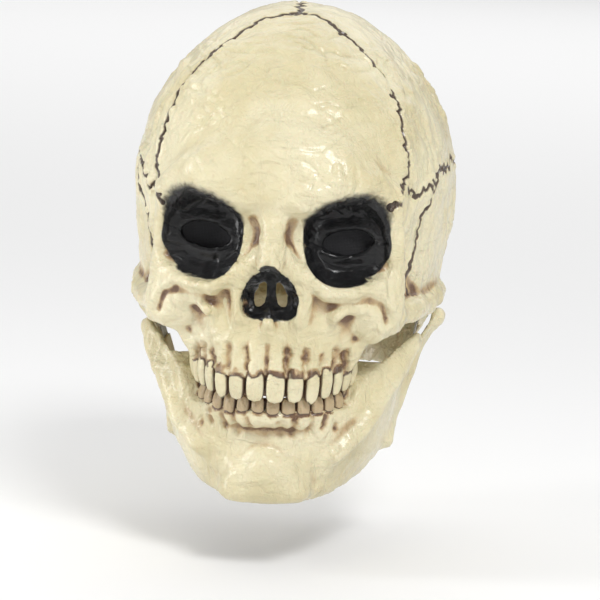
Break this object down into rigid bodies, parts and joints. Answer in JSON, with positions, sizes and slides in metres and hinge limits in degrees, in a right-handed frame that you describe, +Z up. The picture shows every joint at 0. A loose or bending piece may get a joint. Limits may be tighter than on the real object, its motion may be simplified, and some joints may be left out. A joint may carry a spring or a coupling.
{
  "type": "overhead skull mask",
  "caption": "Overhead costume mask of a human skull: a thin latex cranium casting and a separate latex lower jaw that swings open on two elastic straps.",
  "frame": {"origin": "midway between the wearer's ear canals, on the mask's plane of symmetry", "axes": "+Z up through the crown, the face looks along -Y, +X towards the wearer's left ear"},
  "size_m": [0.168, 0.2258, 0.2465],
  "materials": {
    "bone_latex": "glossy painted latex, brown wash in the hollows",
    "eye_gauze": "open black woven gauze",
    "elastic": "woven black elastic webbing",
    "patch_latex": "matt bare latex sheet",
    "foam": "open-cell grey foam"
  },
  "bodies": {
    "cranium": {"cranium_shell": "bone_latex", "eye_mesh_left": "eye_gauze", "eye_mesh_right": "eye_gauze", "hinge_strap_left": "elastic", "hinge_strap_right": "elastic", "strap_patch_upper_left": "patch_latex", "strap_patch_upper_right": "patch_latex"},
    "jaw": {"jaw_shell": "bone_latex", "chin_pad": "foam", "strap_patch_lower_left": "patch_latex", "strap_patch_lower_right": "patch_latex"}
  },
  "joints": [
    {"name": "jaw_hinge", "type": "hinge", "parent": "cranium", "child": "jaw", "pos_m": [0, 0.006, -0.026], "axis": [1, 0, 0], "range_deg": [0, 18], "stiffness_Nm_per_rad": 1.2, "springref_deg": -6.88, "deforming": ["hinge_strap_left", "hinge_strap_right"]}
  ]
}
